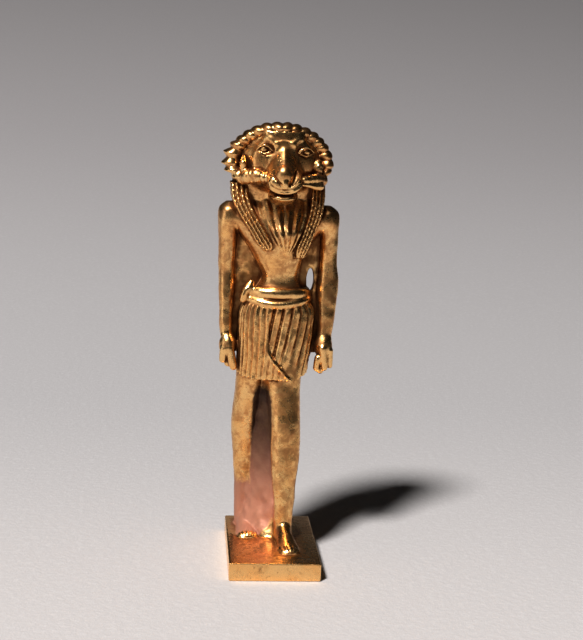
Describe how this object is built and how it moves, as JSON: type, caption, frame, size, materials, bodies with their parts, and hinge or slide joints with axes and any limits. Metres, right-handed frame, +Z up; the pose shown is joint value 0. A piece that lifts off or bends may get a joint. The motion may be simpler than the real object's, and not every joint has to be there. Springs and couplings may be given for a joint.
{
  "type": "ram-headed deity amulet",
  "caption": "Small cast-gold amulet of a striding ram-headed god in a pleated kilt, on a thin plinth, with a suspension loop behind the neck.",
  "frame": {"origin": "centre of the plinth's underside", "axes": "+Z up, -Y the way the figure faces, +X to the viewer's right"},
  "size_m": [0.0101, 0.012, 0.036],
  "materials": {
    "gold": "old cast gold, softly polished, with pits and a reddish film in the hollows"
  },
  "bodies": {
    "root": {"ram_headed_amulet": "gold"}
  },
  "joints": []
}
